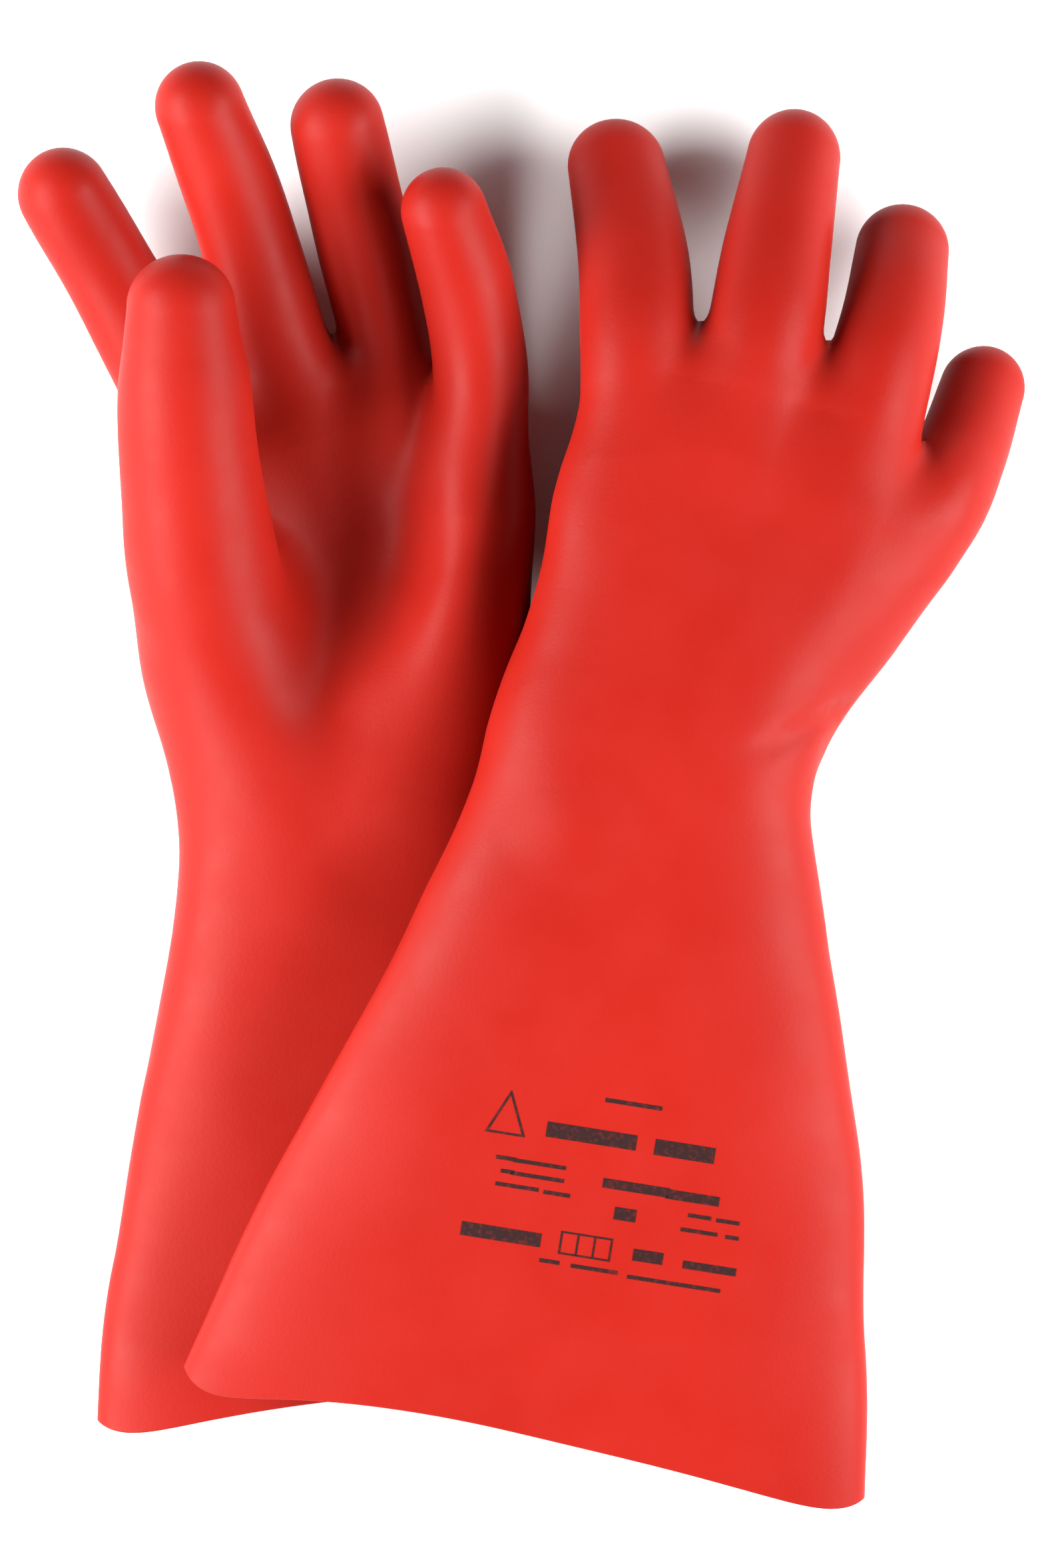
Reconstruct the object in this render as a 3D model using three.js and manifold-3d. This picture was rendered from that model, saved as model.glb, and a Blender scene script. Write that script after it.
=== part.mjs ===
// A pair of electrical insulating gauntlet gloves in dipped rubber, lying crossed on a flat surface.
// Millimetres, +Z up, +Y from the cuffs towards the fingertips, origin under the middle of the pair.
// The left-hand glove lies on its back, palm up. The right-hand glove lies palm down beside it, with
// its cuff on top of the left one's cuff and its thumb folded under its own palm.
//
// Each glove is one hollow moulding. It is divided where the rubber bends, at the wrist and at the
// root of each digit, along a cylinder about the hinge, so that the bend leaves the gap as it is.
import * as THREE from "three";
import { mergeVertices } from "three/addons/utils/BufferGeometryUtils.js";
import Module from "manifold-3d";

const wasm = await Module();
wasm.setup();

// ---------- driving dimensions ----------
const WALL = 2.3; // rubber thickness
const RIM_FADE = 70; // length of cuff over which the wave of its rim dies away
const GAP = 0.6; // gap between the two sides of a hinge
const ROOM = 1; // room around a digit where it lies against its own hand
const SIDE_ROOM = 1.4; // room beside a digit's root for it to turn past its neighbours
const DRUM_EASE = 1.04; // how much wider a hinge's cylinder is than the limb needs there
const MOUTH_EXTRA = 14; // how far the hollow runs out past the rim

const HAND_AROUND = 28; // sides of a hand and cuff
const DIGIT_AROUND = 12; // sides of a digit
const ROWS_PER_SPAN = 2; // rings between two neighbouring sections of a limb
const CAP_ROWS = 3; // rings on a rounded end
const DRUM_AROUND = 16; // sides of a hinge's cylinder, and one more for each DRUM_STEP of radius
const DRUM_STEP = 2;
const BEYOND = 400; // size of the block past a hinge
const RUBBER_RED = 0xd8261f;

const UP = new THREE.Vector3(0, 0, 1);
const vec = ([x, y, z]) => new THREE.Vector3(x, y, z);

// ---------- the two gloves ----------
// A section is [x, y, z, half width, half height] across a limb's middle line. A hand runs from the
// rim of its cuff to its knuckles, and a digit from inside the palm to the middle of its round tip.
// The heel is the fleshy edge of the hand below the little finger. squareness is 2 for an oval
// section and more for a boxy one. floor is the level the glove is pressed flat at. rim gives, for
// each side, how far the rim swells past its middle and how far it draws back at the very fold.
const LEFT = {
  name: "left",
  squareness: 2.5,
  floor: 0,
  rim: { lowX: [9, 8], highX: [7, 8] },
  hand: [
    [-27.5, -181.5, 14, 102, 15],
    [-31.5, -132, 17, 91, 18.5],
    [-40, -82, 20, 75, 21.5],
    [-50, -33, 23.5, 56, 25],
    [-55, 4, 25, 48.5, 26],
    [-58, 38, 23, 53, 24],
    [-58, 75, 20.5, 57, 21],
    [-59, 104, 19, 57, 18],
  ],
  heel: [
    [-30, -2, 26, 20, 22],
    [-23, 30, 27, 21, 24],
    [-20, 62, 27, 20, 24],
    [-15, 94, 25, 16, 20],
  ],
  digits: {
    thumb: [
      [-80, 12, 24, 18, 18],
      [-89.5, 50, 41.5, 21, 22],
      [-98, 88, 58, 20.5, 19],
      [-100, 118, 68, 19.5, 18.5],
      [-101.5, 142, 74, 16, 15.5],
    ],
    index_finger: [
      [-94, 97, 20, 16, 17],
      [-111, 130, 22, 15, 15],
      [-124.5, 154.5, 28, 14.4, 14.4],
      [-136.5, 177.5, 37, 13.8, 13.8],
    ],
    middle_finger: [
      [-63, 105, 20, 16.5, 17],
      [-74.4, 137, 24, 15.3, 15.5],
      [-85, 171, 36, 14.7, 14.7],
      [-96.5, 202.5, 52, 13.8, 13.8],
    ],
    ring_finger: [
      [-38, 103, 19, 15.3, 16.5],
      [-41.8, 137, 21.5, 14.4, 15],
      [-49, 171, 32, 14.6, 14.6],
      [-55.5, 198, 45, 13.8, 13.8],
    ],
    little_finger: [
      [-13, 85, 25, 13.5, 17],
      [-10.5, 118, 32, 14, 15],
      [-14.5, 147, 45, 14.4, 14.4],
      [-21.5, 170.5, 60, 13.6, 13.6],
    ],
  },
};

const RIGHT = {
  name: "right",
  squareness: 2.5,
  floor: null,
  rim: { lowX: [18, 11], highX: [8, 8] },
  hand: [
    [1, -192.5, 46, 104, 16],
    [11, -150, 54, 94.5, 18.5],
    [22, -100, 62, 81, 20.5],
    [32, -40, 65, 62, 23.5],
    [38.5, 4, 63, 51, 26],
    [52, 44, 61, 50, 24],
    [64.5, 72, 60, 56, 21.5],
    [71, 98, 57, 55, 18],
  ],
  heel: [
    [66, 0, 62, 21, 22],
    [77, 26, 56, 19, 23],
    [94, 51, 54, 17.5, 21],
    [109, 71, 52, 15, 18],
  ],
  digits: {
    thumb: [
      [18, 12, 57, 18, 18],
      [19, 38, 37, 19, 20],
      [27, 70, 20.5, 18, 17.5],
      [34, 98, 17, 16.5, 16],
      [38, 118, 16, 15, 14.5],
    ],
    index_finger: [
      [36, 96, 58, 19, 17],
      [34.8, 128, 54, 17.3, 16.5],
      [33.7, 156, 41, 16.7, 16],
      [28.8, 186.5, 24, 14.8, 14.5],
    ],
    middle_finger: [
      [62, 97, 58, 18, 17],
      [71.6, 132, 55, 17.3, 16.5],
      [76.4, 160, 43, 16.4, 16],
      [80.8, 188.5, 25.5, 14.5, 14.5],
    ],
    ring_finger: [
      [96, 82, 57, 16.5, 17],
      [106, 118, 53, 16.4, 16],
      [111.6, 140, 42, 15.5, 15.4],
      [114.8, 160.5, 25, 14.2, 14.2],
    ],
    little_finger: [
      [101, 46, 55, 12, 15],
      [121.5, 79, 51, 15, 15],
      [132, 99.5, 40, 14, 14],
      [138.3, 118.5, 25, 13, 13],
    ],
  },
};

// Hinges: how far along the limb each sits, in sections, its axis, and its limits in degrees.
// A positive turn carries what lies past the hinge towards the palm, and at the wrists clear of the
// other glove. The axis is square to the limb, and what is given here is what it is squared from.
const ACROSS = [1, 0, 0];
const HINGES = {
  left: {
    wrist: { at: 4, axis: [0, 0, 1], limits: [0, 8] },
    thumb: { at: 2.15, axis: [0, 0, -1], limits: [-10, 20] },
    index_finger: { at: 1.35, axis: ACROSS, limits: [-12, 12] },
    middle_finger: { at: 1.2, axis: ACROSS, limits: [-15, 15] },
    ring_finger: { at: 1.15, axis: ACROSS, limits: [-15, 15] },
    little_finger: { at: 1.1, axis: ACROSS, limits: [-8, 50] },
  },
  right: {
    wrist: { at: 4, axis: ACROSS, limits: [0, 15] },
    thumb: { at: 2, axis: [0, 0, -1], limits: [-10, 10] },
    index_finger: { at: 1.4, axis: [-1, 0, 0], limits: [-25, 6] },
    middle_finger: { at: 1.3, axis: [-1, 0, 0], limits: [-25, 6] },
    ring_finger: { at: 1.3, axis: [-1, 0, 0], limits: [-17, 6] },
    little_finger: { at: 1.3, axis: [-1, 0, 0], limits: [-13, 6] },
  },
};

// ---------- limbs ----------
// The middle line and half sizes of a limb, both read at the same share of its length.
function limbOf(sections) {
  const line = new THREE.CatmullRomCurve3(sections.map(([x, y, z]) => vec([x, y, z])));
  const halves = new THREE.CatmullRomCurve3(sections.map(([, , , w, h]) => vec([w, h, 0])));
  return { line, halves, spans: sections.length - 1 };
}

// Directions at a share of the limb's length: along it, across it level with the ground, and up.
function frameAt(line, share) {
  const along = line.getTangent(THREE.MathUtils.clamp(share, 0, 1));
  const across = new THREE.Vector3().crossVectors(along, UP).normalize();
  const up = new THREE.Vector3().crossVectors(across, along);
  return { along, across, up };
}

// How far the rim reaches past its middle, at a share of the way from there to a side fold.
function rimWave({ lowX, highX }, share) {
  const [swell, draw] = share < 0 ? lowX : highX;
  return swell * Math.abs(share) ** 3 - draw * share ** 14;
}

// A closed solid around a limb: a lathed profile whose rings are moved onto the limb's sections.
// inset shrinks it to the hollow inside, which then starts beyond the open end by mouth.
function limbSolid(sections, { around, squareness = 2, inset = 0, rim = null, floor = null }) {
  const { line, halves, spans } = limbOf(sections);
  const rows = spans * ROWS_PER_SPAN;
  const profile = [new THREE.Vector2(0, 0)];
  for (let row = 0; row <= rows; row++) profile.push(new THREE.Vector2(1, row / rows));
  for (let row = 1; row <= CAP_ROWS; row++) {
    const turn = (row / CAP_ROWS) * (Math.PI / 2);
    profile.push(new THREE.Vector2(row === CAP_ROWS ? 0 : Math.cos(turn), 1 + Math.sin(turn)));
  }
  const geometry = new THREE.LatheGeometry(profile, around);
  const position = geometry.getAttribute("position");
  const ring = new THREE.Vector3();
  for (let i = 0; i < position.count; i++) {
    ring.fromBufferAttribute(position, i);
    const share = Math.min(ring.y, 1);
    const { along, across, up } = frameAt(line, share);
    const size = halves.getPoint(share);
    const swell = 2 / squareness;
    const radial = Math.hypot(ring.x, ring.z);
    const [c, s] = radial > 0 ? [ring.z / radial, ring.x / radial] : [0, 0];
    const sideways = Math.sign(c) * Math.abs(c) ** swell * radial;
    const upwards = Math.sign(s) * Math.abs(s) ** swell * radial;
    const point = line.getPoint(share);
    point.addScaledVector(across, sideways * (size.x - inset));
    point.addScaledVector(up, upwards * (size.y - inset));
    point.addScaledVector(along, Math.max(ring.y - 1, 0) * (size.y - inset));
    if (rim) {
      const fade = Math.max(0, 1 - (share * line.getLength()) / RIM_FADE);
      point.addScaledVector(along, -rimWave(rim, sideways) * fade * fade);
    }
    if (inset > 0 && ring.y === 0) point.addScaledVector(along, rim ? -MOUTH_EXTRA : inset);
    if (floor !== null) point.z = Math.max(point.z, floor + inset);
    position.setXYZ(i, point.x, point.y, point.z);
  }
  return solidOf(geometry);
}

// ---------- solids ----------
function solidOf(geometry) {
  geometry.deleteAttribute("normal");
  geometry.deleteAttribute("uv");
  const merged = mergeVertices(geometry, 1e-3);
  const corners = [];
  for (let i = 0; i < merged.index.count; i += 3) {
    const [a, b, c] = [0, 1, 2].map((k) => merged.index.getX(i + k));
    if (a !== b && b !== c && c !== a) corners.push(a, c, b);
  }
  const vertProperties = merged.getAttribute("position").array;
  const make = (triVerts) => new wasm.Manifold(new wasm.Mesh({ numProp: 3, vertProperties, triVerts }));
  const made = make(new Uint32Array(corners));
  return made.volume() > 0 ? made : make(new Uint32Array(corners.reverse()));
}

function meshOf(name, solid) {
  const { numProp, vertProperties, triVerts } = solid.getMesh();
  const geometry = new THREE.BufferGeometry();
  geometry.setAttribute("position", new THREE.BufferAttribute(vertProperties, numProp));
  geometry.setIndex(new THREE.BufferAttribute(triVerts, 1));
  geometry.computeVertexNormals();
  const material = new THREE.MeshStandardMaterial({ color: RUBBER_RED, roughness: 0.5, metalness: 0 });
  const mesh = new THREE.Mesh(geometry, material);
  mesh.name = name;
  return mesh;
}

// ---------- hinges ----------
// Where a hinge stands: its middle, its axis, the way along the limb, the side it closes on, half
// the limb's width along the axis, and the radius of the cylinder between its two sides, which is
// just wide enough for the limb to turn as far as the hinge lets it.
function hingeFrame(sections, { at, axis, limits }) {
  const { line, halves, spans } = limbOf(sections);
  const share = at / spans;
  const middle = line.getPoint(share);
  const { along, across, up } = frameAt(line, share);
  const turn = vec(axis);
  turn.addScaledVector(along, -turn.dot(along)).normalize();
  const closing = new THREE.Vector3().crossVectors(turn, along);
  const size = halves.getPoint(share);
  const half = Math.hypot(size.x * closing.dot(across), size.y * closing.dot(up));
  const widest = Math.max(...limits.map(Math.abs));
  const radius = (DRUM_EASE * half) / Math.cos(THREE.MathUtils.degToRad(widest / 2));
  const width = Math.hypot(size.x * turn.dot(across), size.y * turn.dot(up));
  return { middle, turn, along, closing, radius, width };
}

// The space past a hinge: its cylinder, and a block that starts on its axis. gap widens both.
// reach is how far they run to each side along the axis.
function pastHinge({ middle, turn, along, closing, radius }, gap, reach) {
  const around = Math.round(DRUM_AROUND + radius / DRUM_STEP);
  const drum = new THREE.CylinderGeometry(radius + gap, radius + gap, 2 * reach, around);
  const block = new THREE.BoxGeometry(BEYOND, 2 * reach, BEYOND);
  block.translate(0, 0, BEYOND / 2 - gap);
  const basis = new THREE.Matrix4().makeBasis(closing.clone().negate(), turn, along);
  basis.setPosition(middle);
  return solidOf(drum.applyMatrix4(basis)).add(solidOf(block.applyMatrix4(basis)));
}

// What a solid passes through as it turns about a hinge, taken at its two limits and at rest.
function swept(solid, { middle, turn }, limits) {
  return limits.reduce((through, degrees) => {
    const spin = new THREE.Matrix4().makeTranslation(middle);
    spin.multiply(new THREE.Matrix4().makeRotationAxis(turn, THREE.MathUtils.degToRad(degrees)));
    spin.multiply(new THREE.Matrix4().makeTranslation(middle.clone().negate()));
    return through.add(solid.transform(spin.elements));
  }, solid);
}

// ---------- a glove ----------
const DIGIT_REACH = 30; // half the width of the block that parts a digit from its hand
const WRIST_REACH = 130; // the same for a hand and its cuff

function makeGlove({ name, squareness, floor, rim, hand, heel, digits }) {
  const digit = (sections, inset) => limbSolid(sections, { around: DIGIT_AROUND, inset, floor });
  const palm = (inset) =>
    limbSolid(hand, { around: HAND_AROUND, squareness, inset, rim, floor }).add(
      digit(heel, inset),
    );
  const limbs = Object.entries(digits);
  const join = (inset) => limbs.reduce((all, [, line]) => all.add(digit(line, inset)), palm(inset));
  const hollow = join(WALL);
  let shell = join(0).subtract(hollow);

  const group = new THREE.Group();
  for (const [part, line] of limbs) {
    const frame = hingeFrame(line, HINGES[name][part]);
    const turning = digit(line, 0).intersect(pastHinge(frame, 0, DIGIT_REACH)).subtract(hollow);
    const room = digit(line, -ROOM).intersect(pastHinge(frame, GAP, DIGIT_REACH));
    if (part === "thumb") shell = shell.subtract(swept(room, frame, HINGES[name][part].limits));
    else shell = shell.subtract(room).subtract(pastHinge(frame, GAP, frame.width + SIDE_ROOM));
    group.add(meshOf(`${name}_${part}`, turning));
  }
  const frame = hingeFrame(hand, HINGES[name].wrist);
  group.add(meshOf(`${name}_hand`, shell.intersect(pastHinge(frame, 0, WRIST_REACH))));
  group.add(meshOf(`${name}_cuff`, shell.subtract(pastHinge(frame, GAP, WRIST_REACH))));
  return group;
}

const pair = new THREE.Group();
for (const glove of [LEFT, RIGHT]) pair.add(makeGlove(glove));

export default pair;
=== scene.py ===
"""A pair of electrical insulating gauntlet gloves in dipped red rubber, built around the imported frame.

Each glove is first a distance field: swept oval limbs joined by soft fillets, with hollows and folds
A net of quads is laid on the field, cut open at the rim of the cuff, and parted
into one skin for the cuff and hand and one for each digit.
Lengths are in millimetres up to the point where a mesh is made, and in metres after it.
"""

import math

import bmesh
import bpy
import numpy as np
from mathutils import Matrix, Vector


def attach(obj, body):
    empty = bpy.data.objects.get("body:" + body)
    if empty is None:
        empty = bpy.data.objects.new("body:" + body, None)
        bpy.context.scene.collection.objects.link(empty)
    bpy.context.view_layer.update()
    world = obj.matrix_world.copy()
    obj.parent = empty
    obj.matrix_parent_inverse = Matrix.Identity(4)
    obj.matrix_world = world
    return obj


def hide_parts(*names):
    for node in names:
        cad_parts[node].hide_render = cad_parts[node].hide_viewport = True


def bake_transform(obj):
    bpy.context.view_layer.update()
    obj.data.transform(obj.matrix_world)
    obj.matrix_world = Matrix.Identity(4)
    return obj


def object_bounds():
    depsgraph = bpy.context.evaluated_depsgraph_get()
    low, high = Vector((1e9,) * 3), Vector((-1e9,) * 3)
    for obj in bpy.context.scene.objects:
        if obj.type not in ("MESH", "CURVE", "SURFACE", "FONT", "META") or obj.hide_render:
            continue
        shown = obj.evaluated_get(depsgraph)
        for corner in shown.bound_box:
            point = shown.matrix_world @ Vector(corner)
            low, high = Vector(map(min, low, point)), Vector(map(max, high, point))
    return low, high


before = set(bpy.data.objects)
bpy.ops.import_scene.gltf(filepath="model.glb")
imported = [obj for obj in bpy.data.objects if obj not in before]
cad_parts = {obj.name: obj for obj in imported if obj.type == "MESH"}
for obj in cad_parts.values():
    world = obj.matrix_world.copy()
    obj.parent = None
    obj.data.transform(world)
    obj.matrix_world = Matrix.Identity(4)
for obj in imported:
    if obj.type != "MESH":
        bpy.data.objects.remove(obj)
cad_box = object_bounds()

MM = 0.001
WALL = 2.3  # rubber thickness
FLAT_EASE = 5.0  # how softly the underside of the lower glove turns into its flat
RIM_FADE = 70.0  # length of cuff over which the wave of its rim dies away
RIM_SWELL_POWER = 2.6  # how late, towards the fold at each side, the rim swells past its middle
RIM_DRAW_POWER = 14  # and how late it draws back at the very fold
LIP = 0.5  # rounding of the cut edge

CELL = 2.0  # spacing of the net laid on a glove
ROUGH_CELL = 3 * CELL  # spacing of the first, rough working out of its field
ROUGH_CAP = 60  # which is capped here, so that FAR does not drown what lies beside it
BAND = 4.5 * CELL  # the field is worked out in full this close to the surface
RELAX_ROUNDS = 4
RELAX_SHARE = 0.6  # how far a vertex moves towards the middle of its neighbours in a round
FAR = 1e3  # the distance given to points that are nowhere near a limb
REACH = 26  # how far around a limb its distance is worked out
PAST_RIM = 0.45  # how far a hand's tube goes on past the rim, as a share of its first span
FREE_EASE = 1.2  # fillet between two digits beyond their crotch
EASE_FADE = 0.45  # sections over which a digit's fillet drops to that
CUT_REACH = 2.2  # how far a digit's cut reaches from its middle, in half widths
OWN_REACH = 6  # a face belongs to a digit only this close to the digit's own tube
LIP_TILT = 0.45  # how far the shading of the cut edge leans towards each of its sides

# A section is (x, y, z, half width, half height) across a limb's middle line, in the shared frame.
# A hand runs from the rim of its cuff to its knuckles, and a digit from inside the palm to the
# middle of its round tip. cut is where a digit's skin starts, and bend how much of it bends. web
# is how softly a digit runs into its surroundings: at its root, at its crotch, and where that is.
LEFT = {
    "name": "left",
    "floor": 0.0,
    "rim": ((9, 8), (7, 8)),
    "hand": [
        (-27.5, -181.5, 14, 102, 15),
        (-32.2, -132, 17, 91.9, 18.5),
        (-40.8, -82, 20, 75.9, 21.5),
        (-50, -33, 23.5, 56, 25),
        (-55, 4, 25, 48.5, 26),
        (-58, 38, 23, 52.6, 24),
        (-58, 75, 20.5, 57, 20.5),
        (-59, 102, 19, 55, 16),
        (-61.5, 118, 19, 38, 9),
    ],
    "wrist": 4,
    "heel_ease": 22.0,
    "heel": [
        (-30, -2, 26, 20, 22),
        (-21.5, 30, 27, 20, 24),
        (-19, 62, 28, 17, 23),
        (-16, 86, 29.5, 13.3, 18.5),
        (-14, 108, 33, 6.5, 8),
    ],
    "digits": {
        "thumb": {
            "rows": [
                (-79.5, 12, 24, 17.5, 18),
                (-92.3, 51, 41.5, 23.3, 22),
                (-98.5, 88, 58, 21.5, 19),
                (-100.5, 116, 67.5, 20, 18.5),
                (-101.3, 131, 71.5, 17.8, 16.9),
                (-101.5, 142, 74, 16.5, 15.9),
            ],
            "cut": 2.1,
            "bend": 24,
            "web": (26, 14, 1.3),
        },
        "index_finger": {
            "rows": [
                (-94, 97, 20, 15.5, 14.5),
                (-111, 130, 22, 15, 15),
                (-124.5, 154.5, 28, 14.4, 14.4),
                (-137.8, 177.5, 37, 13.6, 13.6),
            ],
            "cut": 1.25,
            "bend": 20,
            "web": (16, 7, 0.8),
        },
        "middle_finger": {
            "rows": [
                (-63, 105, 20, 15.5, 14),
                (-74.9, 137, 24, 15.1, 15.5),
                (-85, 171, 36, 14.7, 14.7),
                (-96.5, 202.5, 52, 13.8, 13.8),
            ],
            "cut": 1.2,
            "bend": 20,
            "web": (16, 8, 0.85),
        },
        "ring_finger": {
            "rows": [
                (-38, 103, 19, 14.5, 14),
                (-41.4, 137, 21.5, 14.2, 15),
                (-49, 171, 32, 14.6, 14.6),
                (-55.5, 198, 45, 13.8, 13.8),
            ],
            "cut": 1.2,
            "bend": 20,
            "web": (14, 8, 0.85),
        },
        "little_finger": {
            "rows": [
                (-16.5, 85, 29, 13.5, 15),
                (-12.6, 118, 36.5, 14.3, 15.3),
                (-16.3, 147, 47, 14.2, 14.4),
                (-23.4, 171, 60, 13.1, 13.1),
            ],
            "cut": 1.15,
            "bend": 28,
            "web": (14, 7, 0.8),
        },
    },
}

RIGHT = {
    "name": "right",
    "floor": None,
    "rim": ((18, 11), (6, 7)),
    "hand": [
        (1.5, -191, 46, 104, 16),
        (11, -150, 54, 94.5, 18.5),
        (22.2, -100, 62, 80.6, 20.5),
        (31.5, -40, 65, 60.5, 23.5),
        (38, 4, 63, 49, 26),
        (50.2, 44, 61, 48.2, 24),
        (59.6, 72, 60, 51.8, 20.5),
        (67, 98, 57, 44, 16),
        (71, 114, 55, 33, 10.5),
    ],
    "wrist": 4,
    "heel_ease": 10.0,
    "heel": [
        (63, 4, 62, 18, 20),
        (73, 30, 56, 15.5, 22),
        (92, 52, 54, 16, 20.5),
        (109, 71, 52, 15, 18),
    ],
    "digits": {
        "thumb": {
            "rows": [
                (18, 12, 57, 18, 18),
                (19, 38, 37, 19, 20),
                (27, 70, 20.5, 18, 17.5),
                (34, 98, 17, 16.5, 16),
                (38, 118, 16, 15, 14.5),
            ],
            "cut": 1.95,
            "bend": 20,
            "web": (20, 8, 1.1),
        },
        "index_finger": {
            "rows": [
                (36.5, 96, 57, 18, 14),
                (34.8, 128, 54, 17.3, 16.5),
                (33.7, 156, 41, 16.7, 16),
                (28.8, 186.5, 24, 14.8, 14.5),
            ],
            "cut": 1.45,
            "bend": 20,
            "web": (16, 8, 1.2),
        },
        "middle_finger": {
            "rows": [
                (62, 97, 57, 17, 14),
                (71.6, 132, 55, 17.3, 16.5),
                (76.4, 160, 43, 16.4, 16),
                (81.8, 188.5, 25.5, 14, 14.5),
            ],
            "cut": 1.35,
            "bend": 20,
            "web": (16, 8, 1.1),
        },
        "ring_finger": {
            "rows": [
                (96, 82, 56, 16.5, 14.5),
                (106, 118, 53, 16.4, 16),
                (111.6, 140, 42, 15.5, 15.4),
                (114.8, 160.5, 25, 14.2, 14.2),
            ],
            "cut": 1.45,
            "bend": 20,
            "web": (16, 9, 1.2),
        },
        "little_finger": {
            "rows": [
                (101, 46, 52, 11, 13),
                (121.5, 79, 51, 15, 15),
                (132, 99.5, 39, 14, 14),
                (138.8, 119.3, 25, 13, 13),
            ],
            "cut": 1.6,
            "bend": 18,
            "web": (14, 7, 1.3),
        },
    },
}
HAND_POWER = 2.5  # 2 makes a section oval, more makes it boxier
UP = np.array((0.0, 0.0, 1.0))


# ---------- limbs ----------
def spline(rows, steps):
    """A Catmull-Rom curve through rows, with steps points to each span."""
    rows = np.vstack([2 * rows[0] - rows[1], rows, 2 * rows[-1] - rows[-2]])
    t = np.linspace(0, 1, steps, endpoint=False)[:, None]
    spans = []
    for a, b, c, d in zip(rows, rows[1:], rows[2:], rows[3:]):
        spans.append(
            b
            + 0.5 * t * (c - a)
            + t**2 * (a - 2.5 * b + 2 * c - 0.5 * d)
            + t**3 * (1.5 * (b - c) + 0.5 * (d - a))
        )
    return np.vstack([*spans, rows[-2:-1]])


def unit(v):
    return v / np.linalg.norm(v, axis=-1, keepdims=True)


class Limb:
    """A tube of oval section along a smooth line, rounded at both ends.

    A rooted limb also has a thin tail before its first section, buried in what it grows from.
    """

    STEPS = 16  # points of the line to a span between two sections
    TAIL_LENGTH = 0.9  # as a share of the first span
    TAIL_SIZE = 0.4  # as a share of the first section

    def __init__(self, rows, power=2.0, rooted=False):
        rows = np.array(rows, float)
        if rooted:
            tail = rows[0] + self.TAIL_LENGTH * (rows[0] - rows[1])
            tail[3:] = self.TAIL_SIZE * rows[0, 3:]
            rows = np.vstack([tail, rows])
        dense = spline(rows, self.STEPS)
        self.power = power
        self.line, self.size = dense[:, :3], dense[:, 3:5]
        self.row = np.arange(len(dense)) / self.STEPS - rooted
        steps = np.linalg.norm(np.diff(self.line, axis=0), axis=1)
        self.at = np.concatenate([[0], np.cumsum(steps)])
        self.along = unit(np.gradient(self.line, self.at, axis=0))
        self.across = unit(np.cross(self.along, UP))
        self.up = np.cross(self.across, self.along)
        reach = self.size.max() + REACH
        self.low, self.high = self.line.min(0) - reach, self.line.max(0) + reach

    def read(self, table, s):
        return np.stack([np.interp(s, self.at, column) for column in table.T], -1)

    def place(self, points):
        """Where on the limb's length each point lies, and its offsets across, up and past the end."""
        chord = unit(self.line[-1] - self.line[0])
        s = np.interp((points - self.line[0]) @ chord, (self.line - self.line[0]) @ chord, self.at)
        for _ in range(4):
            off = points - self.read(self.line, s)
            s = np.clip(s + (off * self.read(self.along, s)).sum(-1), 0, self.at[-1])
        off = points - self.read(self.line, s)
        sides = [(off * unit(self.read(t, s))).sum(-1) for t in (self.across, self.up, self.along)]
        return s, *sides

    def distance(self, points):
        """About how far each point is outside the limb, and the section number it lies at."""
        out, row = np.full(len(points), FAR), np.zeros(len(points))
        near = np.all((points > self.low) & (points < self.high), axis=1)
        if near.any():
            s, across, up, past = self.place(points[near])
            size = self.read(self.size, s)
            wide, high, n = size[:, 0], size[:, 1], self.power
            parts = [np.abs(across) / wide, np.abs(up) / high, np.abs(past) / high]
            full = sum(p**n for p in parts) + 1e-9
            radius = full ** (1 / n)
            slopes = [(p / radius) ** (n - 1) / w for p, w in zip(parts, (wide, high, high))]
            steep = np.sqrt(sum(g**2 for g in slopes)) + 1e-9
            out[near] = (radius - 1) / steep
            row[near] = np.interp(s, self.at, self.row)
        return out, row

    def frame_at(self, row):
        s = np.interp(row, self.row, self.at)
        return [self.read(t, np.array([s]))[0] for t in (self.line, self.along, self.across)]


def soft_min(a, b, k):
    h = np.maximum(k - np.abs(a - b), 0) / k
    return np.minimum(a, b) - h * h * k / 4


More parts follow.
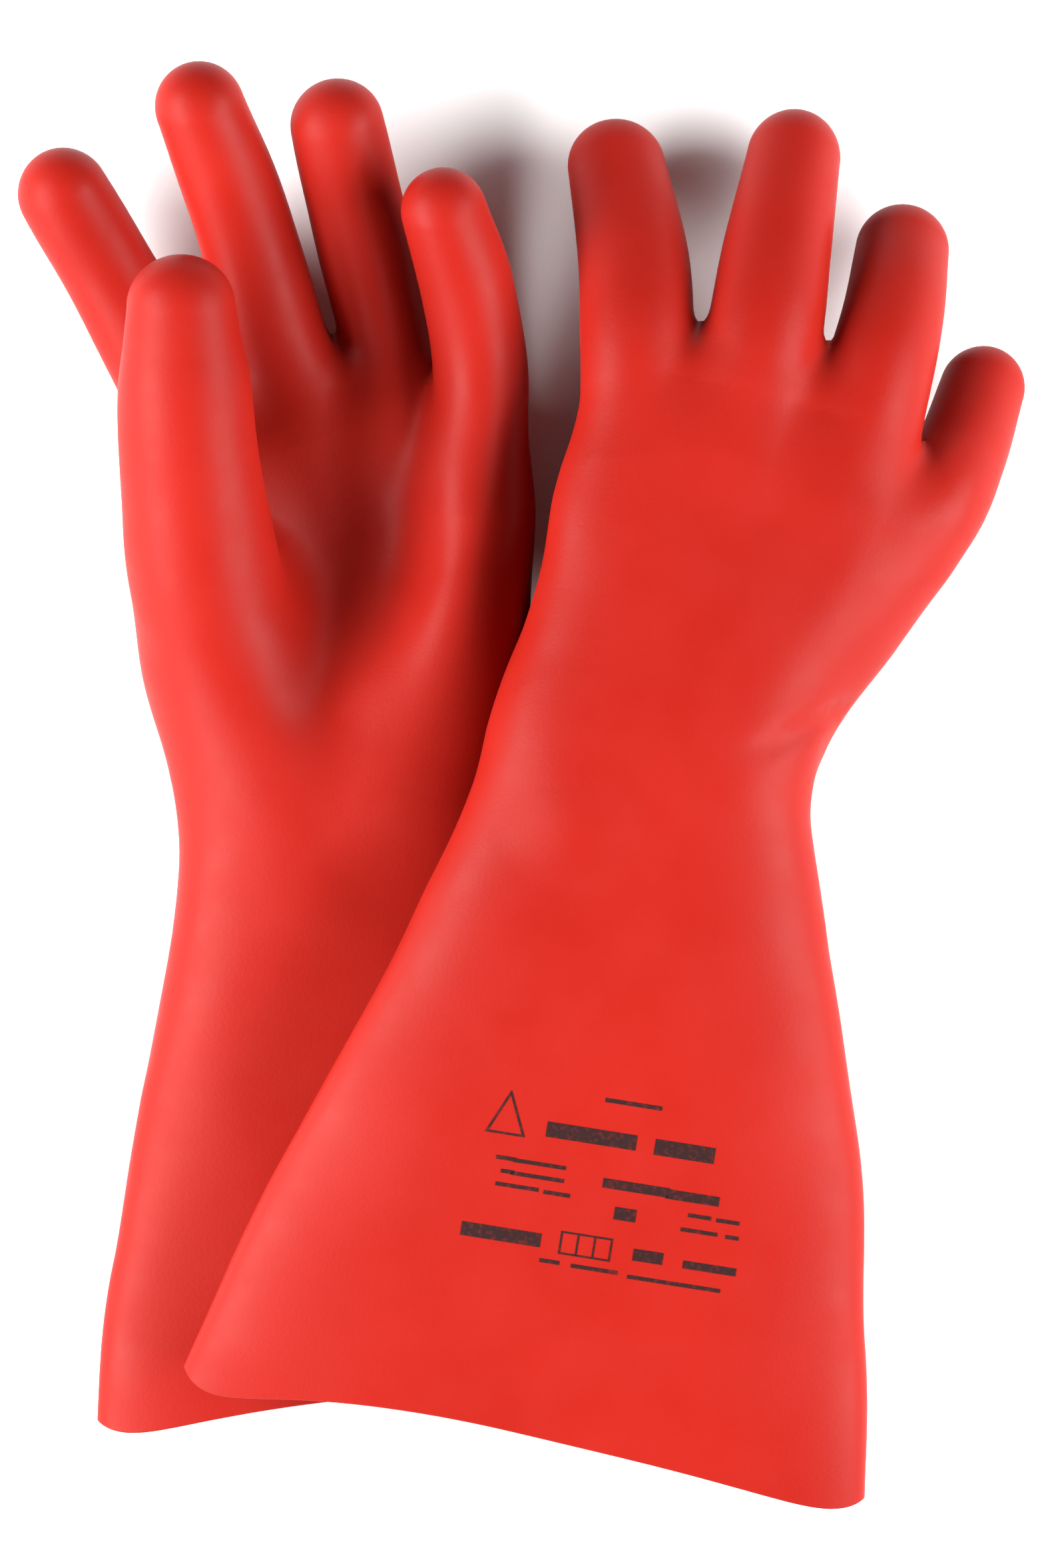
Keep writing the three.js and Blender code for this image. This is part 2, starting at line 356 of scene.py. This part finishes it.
# ---------- a glove as a field ----------
class Glove:
    def __init__(self, spec):
        self.spec = spec
        rows = np.array(spec["hand"], float)
        beyond = rows[0] - PAST_RIM * (rows[1] - rows[0])
        self.hand = Limb(np.vstack([beyond, rows]), HAND_POWER)
        self.heel = Limb(spec["heel"])
        self.digits = {n: Limb(d["rows"], rooted=True) for n, d in spec["digits"].items()}

    def field(self, points):
        """Distance outside the glove's outer surface."""
        d, _ = self.hand.distance(points)
        d = soft_min(d, self.heel.distance(points)[0], self.spec["heel_ease"])
        d = d + sum(dent(points) for dent in HOLLOWS[self.spec["name"]])
        for name, limb in self.digits.items():
            own, row = limb.distance(points)
            at_root, at_crotch, crotch = self.spec["digits"][name]["web"]
            ease = np.interp(row, [0, crotch, crotch + EASE_FADE], [at_root, at_crotch, FREE_EASE])
            d = soft_min(d, own, ease)
        d = d + sum(dent(points) for dent in FOLDS[self.spec["name"]])
        if self.spec["floor"] is not None:
            d = -soft_min(-d, points[:, 2] - self.spec["floor"], FLAT_EASE)
        return d

    def slope(self, points, step=0.05):
        g = np.empty_like(points)
        for k in range(3):
            shift = np.zeros(3)
            shift[k] = step
            g[:, k] = self.field(points + shift) - self.field(points - shift)
        return g / (2 * step)

    def snapped(self, points, rounds=2):
        """The points moved onto the surface."""
        for _ in range(rounds):
            g = self.slope(points)
            pull = self.field(points) / np.maximum((g * g).sum(-1), 0.05)
            points = points - np.clip(pull, -CELL, CELL)[:, None] * g
        return points

    def nearest_digit(self, points):
        """For each point, the number of the digit whose own tube it is closest to."""
        return np.argmin([limb.distance(points)[0] for limb in self.digits.values()], axis=0)


def bowl(centre, radii, depth):
    """A round hollow of that depth around a point on the surface, or a bump where it is negative."""
    centre, radii = np.array(centre, float), np.array(radii, float)
    return lambda points: depth * np.exp(-(((points - centre) / radii) ** 2).sum(-1))


def fold(route, width, depth):
    """A groove along a route of (x, y, z) points, or a ridge where depth is negative."""
    line = spline(np.array(route, float), 8)

    def dent(points):
        total = np.zeros(len(points))
        low, high = line.min(0) - 4 * width, line.max(0) + 4 * width
        near = np.all((points > low) & (points < high), axis=1)
        if near.any():
            gaps = np.linalg.norm(points[near][:, None] - line[None], axis=-1)
            pull = np.exp(-((gaps / width) ** 2))
            fade = np.sin(np.pi * np.arange(len(line)) / (len(line) - 1)) ** 2
            total[near] = depth * (pull * fade).max(1)
        return total

    return dent


def ripple(waves):
    """A slight unevenness of the dipped rubber: sums of long waves (wavelength, heading, height)."""

    def dent(points):
        total = np.zeros(len(points))
        for length, heading, height in waves:
            way = np.array((math.cos(heading), math.sin(heading), 0.35))
            total += height * np.sin(2 * math.pi * (points @ way) / length + 7 * heading)
        return total

    return dent


# pressed into the palm before the digits join it
HOLLOWS = {
    "left": [
        bowl((-49, 82, 42), (25, 28, 26), 16.0),
        bowl((-50, 56, 42), (17, 22, 26), 7.5),
        bowl((-62, 34, 45), (12, 19, 24), 6.5),
    ],
    "right": [bowl((42, 66, 36), (26, 32, 15), 7.0)],
}
# pressed into the whole glove
FOLDS = {
    "left": [ripple([(61, 0.4, 0.22), (47, 1.9, 0.18), (83, 2.7, 0.25)])],
    "right": [
        fold([(98, 26, 52), (95, 23, 64), (90, 19, 74), (82, 15, 81), (72, 11, 86), (62, 9, 89)], 4.0, 2.7),
        ripple([(59, 0.9, 0.22), (49, 2.3, 0.18), (87, 3.0, 0.25)]),
    ],
}


# ---------- a net of quads on a field ----------
def field_on_grid(glove, axes):
    """The field at every crossing of the three axes, worked out in full only near the surface."""
    rough = [np.arange(a[0], a[-1] + ROUGH_CELL, ROUGH_CELL) for a in axes]
    shape = [len(a) for a in rough]
    crossings = np.stack(np.meshgrid(*rough, indexing="ij"), -1).reshape(-1, 3)
    f = np.minimum(glove.field(crossings), ROUGH_CAP).reshape(shape)
    for axis in range(3):
        at = (axes[axis] - rough[axis][0]) / ROUGH_CELL
        left = np.minimum(at.astype(int), shape[axis] - 2)
        share = (at - left).reshape([-1 if k == axis else 1 for k in range(3)])
        f = np.take(f, left, axis) * (1 - share) + np.take(f, left + 1, axis) * share
    near = np.argwhere(np.abs(f) < BAND)
    points = np.stack([axes[k][near[:, k]] for k in range(3)], -1)
    f[tuple(near.T)] = np.concatenate([glove.field(part) for part in np.array_split(points, 4)])
    return f


def corner(a, c):
    """The values that array a has at corner c of every cell."""
    return a[tuple(slice(c[k], a.shape[k] - 1 + c[k]) for k in range(3))]


def net(glove):
    """Quads on the zero surface of a glove's field, one vertex to each cell that it crosses."""
    limbs = [glove.hand, glove.heel, *glove.digits.values()]
    pad = 2.5 * CELL
    low = np.min([(m.line - m.size.max()).min(0) for m in limbs], axis=0) - pad
    high = np.max([(m.line + m.size.max()).max(0) for m in limbs], axis=0) + pad
    low[2] = min((m.line[:, 2] - m.size[:, 1]).min() for m in limbs) - pad
    high[2] = max((m.line[:, 2] + m.size[:, 1]).max() for m in limbs) + pad
    counts = np.ceil((high - low) / CELL).astype(int) + 1
    axes = [low[k] + CELL * np.arange(counts[k]) for k in range(3)]
    f = field_on_grid(glove, axes)
    inside = f < 0
    corners = [np.array(c) for c in np.ndindex(2, 2, 2)]
    total = sum(corner(inside, c).astype(np.int8) for c in corners)
    mixed = (total > 0) & (total < 8)
    cells = np.argwhere(mixed)
    number = np.full(mixed.shape, -1)
    number[mixed] = np.arange(len(cells))
    place, count = np.zeros((len(cells), 3)), np.zeros(len(cells))
    for axis in range(3):
        step = np.eye(3, dtype=int)[axis]
        for c in corners:
            if c[axis]:
                continue
            a, b = cells + c, cells + c + step
            fa, fb = f[tuple(a.T)], f[tuple(b.T)]
            cross = (fa < 0) != (fb < 0)
            t = np.where(cross, fa / np.where(cross, fa - fb, 1), 0)
            place[cross] += (a + t[:, None] * step)[cross]
            count[cross] += 1
    points = low + CELL * place / count[:, None]
    quads = []
    for axis in range(3):
        step = np.eye(3, dtype=int)[axis]
        u, v = np.eye(3, dtype=int)[(axis + 1) % 3], np.eye(3, dtype=int)[(axis + 2) % 3]
        a = inside[tuple(slice(0, inside.shape[k] - step[k]) for k in range(3))]
        b = inside[tuple(slice(step[k], inside.shape[k]) for k in range(3))]
        edges = np.argwhere(a != b)
        edges = edges[np.all((edges[:, [(axis + 1) % 3, (axis + 2) % 3]] > 0), axis=1)]
        ring = np.stack([number[tuple((edges - o).T)] for o in (u + v, v, 0 * u, u)], -1)
        out = a[tuple(edges.T)]
        ring[~out] = ring[~out][:, ::-1]
        quads.append(ring)
    return points, np.vstack(quads)


def relaxed(glove, points, quads):
    """The net evened out by sliding its vertices along the surface."""
    ends = np.vstack([quads[:, [k, (k + 1) % 4]] for k in range(4)])
    degree = np.bincount(ends[:, 0], minlength=len(points))[:, None]
    for _ in range(RELAX_ROUNDS):
        sums = [np.bincount(ends[:, 0], points[ends[:, 1], k], len(points)) for k in range(3)]
        near = np.stack(sums, -1)
        points = glove.snapped(points + RELAX_SHARE * (near / degree - points), 1)
    return glove.snapped(points, 2)


# ---------- skins ----------
def cut_net(glove, points, quads):
    """The net as a bmesh, cut off at the rim and scored along the plane where each digit starts."""
    mesh = bpy.data.meshes.new("net")
    mesh.from_pydata(points.tolist(), [], quads.tolist())
    bm = bmesh.new()
    bm.from_mesh(mesh)
    bpy.data.meshes.remove(mesh)
    centre, along, _ = glove.hand.frame_at(1)
    near = [f for f in bm.faces if abs((np.array(f.calc_center_median()) - centre) @ along) < 4 * CELL]
    geom = list({v for f in near for v in f.verts}) + list({e for f in near for e in f.edges}) + near
    bmesh.ops.bisect_plane(bm, geom=geom, dist=1e-4, plane_co=centre, plane_no=along)
    beyond = [v for v in bm.verts if (np.array(v.co) - centre) @ along < -1e-3]
    bmesh.ops.delete(bm, geom=beyond, context="VERTS")
    for i, (name, limb) in enumerate(glove.digits.items()):
        centre, along, _ = limb.frame_at(glove.spec["digits"][name]["cut"])
        reach = CUT_REACH * limb.size.max()
        near = [f for f in bm.faces if (f.calc_center_median() - Vector(centre)).length < reach]
        own = glove.nearest_digit(np.array([f.calc_center_median() for f in near])) == i
        near = [f for f, mine in zip(near, own) if mine]
        geom = list({v for f in near for v in f.verts}) + list({e for f in near for e in f.edges}) + near
        bmesh.ops.bisect_plane(bm, geom=geom, dist=0.25, plane_co=centre, plane_no=along)
    return bm


def part_of_face(glove, centres):
    """For each face centre, 0 for the cuff and hand, or 1 and up for the digit it belongs to."""
    digit = glove.nearest_digit(centres)
    part = np.zeros(len(centres), int)
    for i, (name, limb) in enumerate(glove.digits.items()):
        centre, along, _ = limb.frame_at(glove.spec["digits"][name]["cut"])
        own, _ = limb.distance(centres)
        part[(digit == i) & (((centres - centre) @ along) > 0) & (own < OWN_REACH)] = i + 1
    return part


def rim_wave(glove, points):
    """How far each point near the rim is carried out past it."""
    centre, along, across = glove.hand.frame_at(1)
    s, side, _, _ = glove.hand.place(points)
    share = np.clip(side / np.interp(s, glove.hand.at, glove.hand.size[:, 0]), -1, 1)
    start = np.interp(1, glove.hand.row, glove.hand.at)
    fade = np.clip(1 - np.maximum(s - start, 0) / RIM_FADE, 0, 1) ** 2
    (low_swell, low_draw), (high_swell, high_draw) = glove.spec["rim"]
    swell = np.where(share < 0, low_swell, high_swell)
    draw = np.where(share < 0, low_draw, high_draw)
    wave = swell * np.abs(share) ** RIM_SWELL_POWER - draw * share**RIM_DRAW_POWER
    return -(wave * fade)[:, None] * along


def skin(glove, name, points, normals, shift, faces, material):
    """One closed skin: outer surface, inner surface, and a band that joins them along each edge."""
    used = np.unique(np.concatenate([np.array(f) for f in faces]))
    renumber = {int(old): new for new, old in enumerate(used)}
    outer = [[renumber[int(v)] for v in f] for f in faces]
    p, n, move = points[used], normals[used], shift[used]
    count = len(used)
    edges = dict.fromkeys((a, b) for f in outer for a, b in zip(f, f[1:] + f[:1]))
    border = [(a, b) for a, b in edges if (b, a) not in edges]
    centre, along, _ = glove.hand.frame_at(1)
    on_rim = np.abs((p - centre) @ along) < 1e-2
    verts = [p + move, p - WALL * n + move]
    norms = [n, -n]
    polys = outer + [[v + count for v in reversed(f)] for f in outer]
    lip = sorted({v for e in border for v in e if on_rim[v]})
    first = {v: 2 * count + i for i, v in enumerate(lip)}
    second = {v: 2 * count + len(lip) + i for i, v in enumerate(lip)}
    if lip:
        out = -along
        edge = p[lip] + move[lip] + LIP * out
        verts += [edge - LIP * n[lip], edge - (WALL - LIP) * n[lip]]
        norms += [unit(LIP_TILT * n[lip] + out), unit(-LIP_TILT * n[lip] + out)]
    for a, b in border:
        if on_rim[a] and on_rim[b]:
            chain = [(a, b), (first[a], first[b]), (second[a], second[b]), (a + count, b + count)]
        else:
            chain = [(a, b), (a + count, b + count)]
        for (a0, b0), (a1, b1) in zip(chain, chain[1:]):
            polys.append([b0, a0, a1, b1])
    mesh = bpy.data.meshes.new(name)
    mesh.from_pydata((np.vstack(verts) * MM).tolist(), [], polys)
    mesh.polygons.foreach_set("use_smooth", np.ones(len(mesh.polygons), bool))
    mesh.normals_split_custom_set_from_vertices(unit(np.vstack(norms)).tolist())
    rest = mesh.attributes.new("rest_place", "FLOAT_VECTOR", "POINT")
    rest.data.foreach_set("vector", (np.vstack(verts) * MM).astype(np.float32).ravel())
    mesh.materials.append(material)
    made = bpy.data.objects.new(name, mesh)
    bpy.context.scene.collection.objects.link(made)
    return made


def build_glove(spec, material):
    glove = Glove(spec)
    points, quads = net(glove)
    points = relaxed(glove, points, quads)
    bm = cut_net(glove, points, quads)
    bm.verts.index_update()
    points = np.array([v.co for v in bm.verts])
    faces = [[v.index for v in f.verts] for f in bm.faces]
    centres = np.array([f.calc_center_median() for f in bm.faces])
    bm.free()
    normals = unit(glove.slope(points))
    shift = rim_wave(glove, points)
    part = part_of_face(glove, centres)
    side = spec["name"]
    names = ["hand", *glove.digits]
    for i, what in enumerate(names):
        mine = [f for f, k in zip(faces, part) if k == i]
        made = skin(glove, f"{side}_{what}_skin", points, normals, shift, mine, material)
        if i == 0:
            centre, along, _ = glove.hand.frame_at(spec["wrist"] + 1)
            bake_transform(made)
            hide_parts(f"{side}_cuff", f"{side}_hand")
        else:
            centre, along, _ = glove.digits[what].frame_at(spec["digits"][what]["cut"])
            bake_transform(made)
            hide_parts(f"{side}_{what}")
    return glove


# ---------- the printing on the right cuff ----------
PRINT_MIDDLE = (24.2, -123.6)  # on the back of the cuff, in x and y
PRINT_TURN = math.radians(-9)
INK = 0.08  # how far the ink stands proud
INK_ROOT = 0.4  # how deep its underside is buried in the rubber
INK_STEP = 1.5  # longest step along a strip of ink, so that it follows the cuff
MITRE_LIMIT = 2.2  # how much wider than elsewhere a strip may be at a corner
DROP_HEIGHT = 100.0  # the print is let down onto the cuff from here
DROP_ROUNDS = 12
# Each bar is (across, up, length, height) about the middle of the print: blocks where words would be.
BARS = [
    (4.4, 29.7, 17, 1.3),
    (-6.5, 18.4, 27, 4.6),
    (21.5, 18.2, 18, 4.8),
    (-30.5, 7.9, 6, 1.2),
    (-20.5, 7.7, 16, 1.2),
    (-29.5, 4.0, 4, 1.2),
    (-20.5, 3.8, 16, 1.2),
    (-26.0, 0.0, 13, 1.2),
    (-14.0, -0.3, 8, 1.2),
    (9.0, 5.2, 20, 2.9),
    (26.0, 4.9, 16, 2.9),
    (7.0, -3.2, 6.5, 3.8),
    (29.0, -0.4, 7, 1.2),
    (37.5, -0.6, 7, 1.2),
    (29.5, -4.9, 11, 1.2),
    (39.5, -5.1, 4, 1.2),
    (-28.5, -14.8, 24, 4.2),
    (15.7, -14.6, 9, 3.6),
    (34.3, -15.2, 16, 2.4),
    (-13.0, -20.6, 6, 1.2),
    (0.5, -20.8, 14, 1.2),
    (24.5, -21.4, 28, 1.2),
]


def outlines():
    """Thin lines of the print: a triangle and a blank grid of three cells."""
    lines = [([(-37.5, 15.2), (-26.5, 15.2), (-32.0, 27.5), (-37.5, 15.2)], 0.7)]
    left, low, wide, high = -10.6, -17.6, 15.0, 6.4
    right, top = left + wide, low + high
    lines.append(([(left, low), (right, low), (right, top), (left, top), (left, low)], 0.6))
    for share in (1 / 3, 2 / 3):
        x = left + share * wide
        lines.append(([(x, low), (x, top)], 0.6))
    return lines


def strip(points, width):
    """Left, middle and right edges of a strip of that width along a route, in the print's plane."""
    points = np.array(points, float)
    steps = np.linalg.norm(np.diff(points, axis=0), axis=1)
    at = np.concatenate([[0], np.cumsum(steps)])
    closed = np.allclose(points[0], points[-1])
    s = np.unique(np.concatenate([at, np.arange(0, at[-1], INK_STEP)]))
    route = np.stack([np.interp(s, at, points[:, k]) for k in range(2)], -1)
    ahead, behind = np.roll(route, -1, 0), np.roll(route, 1, 0)
    if closed:
        ahead[-1], behind[0] = route[1], route[-2]
    else:
        ahead[-1], behind[0] = route[-1], route[0]
    a, b = ahead - route, route - behind
    a[np.linalg.norm(a, axis=1) == 0] = b[np.linalg.norm(a, axis=1) == 0]
    b[np.linalg.norm(b, axis=1) == 0] = a[np.linalg.norm(b, axis=1) == 0]
    a, b = unit(a), unit(b)
    out = unit(np.stack([-(a + b)[:, 1], (a + b)[:, 0]], -1))
    lean = (out * np.stack([-a[:, 1], a[:, 0]], -1)).sum(-1)
    mitre = np.minimum(1 / np.maximum(lean, 0.3), MITRE_LIMIT)
    side = out * (mitre * width / 2)[:, None]
    return route - side, route, route + side


def print_on(glove, material):
    cos, sin = math.cos(PRINT_TURN), math.sin(PRINT_TURN)
    turn = np.array([[cos, sin], [-sin, cos]])
    routes = [([(x - length / 2, y), (x + length / 2, y)], high) for x, y, length, high in BARS]
    verts, faces = [], []
    for points, width in routes + outlines():
        rings = np.stack(strip(points, width), 1)
        flat = rings.reshape(-1, 2) @ turn + PRINT_MIDDLE
        on = np.column_stack([flat, np.full(len(flat), DROP_HEIGHT)])
        for _ in range(DROP_ROUNDS):
            on[:, 2] -= glove.field(on)
        n = unit(glove.slope(on))
        top = (on + INK * n).reshape(-1, 3, 3)
        under = (on - INK_ROOT * n).reshape(-1, 3, 3)
        loop = np.concatenate([top, under[:, ::-1]], 1)
        base = sum(len(v) for v in verts)
        last = base + 6 * (len(loop) - 1)
        verts.append(loop.reshape(-1, 3))
        for here in range(base, last, 6):
            for j in range(6):
                k = (j + 1) % 6
                faces.append([here + j, here + k, here + 6 + k, here + 6 + j])
        faces += [[base + j for j in (5, 4, 3, 2, 1, 0)], [last + j for j in range(6)]]
    mesh = bpy.data.meshes.new("right_cuff_print")
    mesh.from_pydata((np.vstack(verts) * MM).tolist(), [], faces)
    bm = bmesh.new()
    bm.from_mesh(mesh)
    bmesh.ops.recalc_face_normals(bm, faces=bm.faces)
    bm.to_mesh(mesh)
    bm.free()
    mesh.materials.append(material)
    made = bpy.data.objects.new("right_cuff_print", mesh)
    bpy.context.scene.collection.objects.link(made)
    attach(made, "right_cuff")
    return made


# ---------- materials ----------
def node(tree, kind, inputs=None, **settings):
    made = tree.nodes.new(kind)
    for key, value in settings.items():
        setattr(made, key, value)
    for key, value in (inputs or {}).items():
        made.inputs[key].default_value = value
    return made


def rubber_material():
    m = bpy.data.materials.new("red_dipped_rubber")
    m.use_nodes = True
    t = m.node_tree
    shader = t.nodes["Principled BSDF"]
    shader.inputs["Specular IOR Level"].default_value = 0.11
    shader.inputs["Subsurface Weight"].default_value = 0.06
    shader.inputs["Subsurface Radius"].default_value = (1.0, 0.12, 0.06)
    shader.inputs["Subsurface Scale"].default_value = 0.004
    place = node(t, "ShaderNodeAttribute", attribute_name="rest_place")
    cloudy = node(t, "ShaderNodeTexNoise", {"Scale": 14.0, "Detail": 3.0})
    ramp = node(t, "ShaderNodeValToRGB")
    ramp.color_ramp.elements[0].position = 0.3
    ramp.color_ramp.elements[0].color = (0.265, 0.0080, 0.0042, 1)
    ramp.color_ramp.elements[1].position = 0.7
    ramp.color_ramp.elements[1].color = (0.30, 0.0100, 0.0055, 1)
    t.links.new(place.outputs["Vector"], cloudy.inputs["Vector"])
    t.links.new(cloudy.outputs["Fac"], ramp.inputs["Fac"])
    t.links.new(ramp.outputs["Color"], shader.inputs["Base Color"])
    smear = node(t, "ShaderNodeTexNoise", {"Scale": 55.0, "Detail": 4.0})
    rough = node(t, "ShaderNodeMapRange", {"From Min": 0.3, "From Max": 0.7, "To Min": 0.43, "To Max": 0.55})
    t.links.new(place.outputs["Vector"], smear.inputs["Vector"])
    t.links.new(smear.outputs["Fac"], rough.inputs["Value"])
    t.links.new(rough.outputs["Result"], shader.inputs["Roughness"])
    grain = node(t, "ShaderNodeTexNoise", {"Scale": 900.0, "Detail": 2.0})
    bump = node(t, "ShaderNodeBump", {"Strength": 0.12, "Distance": 0.0004})
    t.links.new(place.outputs["Vector"], grain.inputs["Vector"])
    t.links.new(grain.outputs["Fac"], bump.inputs["Height"])
    t.links.new(bump.outputs["Normal"], shader.inputs["Normal"])
    return m


def ink_material():
    m = bpy.data.materials.new("dark_printing_ink")
    m.use_nodes = True
    t = m.node_tree
    shader = t.nodes["Principled BSDF"]
    shader.inputs["Roughness"].default_value = 0.6
    shader.inputs["Specular IOR Level"].default_value = 0.15
    place = node(t, "ShaderNodeTexCoord")
    patchy = node(t, "ShaderNodeTexNoise", {"Scale": 700.0, "Detail": 3.0})
    ramp = node(t, "ShaderNodeValToRGB")
    ramp.color_ramp.elements[0].position = 0.5
    ramp.color_ramp.elements[0].color = (0.018, 0.005, 0.005, 1)
    ramp.color_ramp.elements[1].position = 0.72
    ramp.color_ramp.elements[1].color = (0.07, 0.006, 0.006, 1)
    t.links.new(place.outputs["Object"], patchy.inputs["Vector"])
    t.links.new(patchy.outputs["Fac"], ramp.inputs["Fac"])
    t.links.new(ramp.outputs["Color"], shader.inputs["Base Color"])
    return m


# ---------- studio ----------
FLOOR_HALF = 4.0  # metres
CAMERA_HEIGHT = 3.5  # metres
AIM_HEIGHT = 0.04  # of the level that fills the picture, about the middle of the gloves
PICTURE_HIGH = 470.8 * MM  # what the picture's long side takes in at that level
SENSOR = 36  # millimetres of film along that side


def studio(box):
    low, high = box
    centre = (low + high) / 2
    floor_mesh = bpy.data.meshes.new("floor")
    square = ((-1, -1), (1, -1), (1, 1), (-1, 1))
    corners = [(x * FLOOR_HALF + centre.x, y * FLOOR_HALF + centre.y, 0) for x, y in square]
    floor_mesh.from_pydata(corners, [], [(0, 1, 2, 3)])
    floor = bpy.data.objects.new("floor", floor_mesh)
    bpy.context.scene.collection.objects.link(floor)
    paper = bpy.data.materials.new("pale_paper")
    paper.use_nodes = True
    shader = paper.node_tree.nodes["Principled BSDF"]
    shader.inputs["Base Color"].default_value = (0.93, 0.93, 0.93, 1)
    shader.inputs["Roughness"].default_value = 0.8
    floor_mesh.materials.append(paper)

    world = bpy.data.worlds.new("studio")
    world.use_nodes = True
    background = world.node_tree.nodes["Background"]
    background.inputs["Color"].default_value = (1, 1, 1, 1)
    background.inputs["Strength"].default_value = 0.08
    bpy.context.scene.world = world

    def softbox(name, where, power):
        """A long strip light at that offset from the gloves' middle, turned towards it."""
        light = bpy.data.lights.new(name, "AREA")
        light.shape = "RECTANGLE"
        light.size, light.size_y = 1.2, 0.55
        light.energy = power
        lamp = bpy.data.objects.new(name, light)
        lamp.location = centre + Vector(where)
        lamp.rotation_euler = (centre - lamp.location).to_track_quat("-Z", "Y").to_euler()
        bpy.context.scene.collection.objects.link(lamp)

    softbox("left_softbox", (-0.8, -0.1, 0.48), 34)
    softbox("right_softbox", (0.8, -0.1, 0.48), 28)
    bpy.context.scene.view_settings.view_transform = "Standard"

    camera = bpy.data.objects.new("camera", bpy.data.cameras.new("camera"))
    bpy.context.scene.collection.objects.link(camera)
    camera.data.sensor_width = SENSOR
    camera.data.lens = SENSOR * (CAMERA_HEIGHT - AIM_HEIGHT) / PICTURE_HIGH
    camera.location = (0, 0, CAMERA_HEIGHT)
    camera.rotation_euler = (0, 0, 0)
    bpy.context.scene.camera = camera


rubber = rubber_material()
build_glove(LEFT, rubber)
print_on(build_glove(RIGHT, rubber), ink_material())
studio(cad_box)
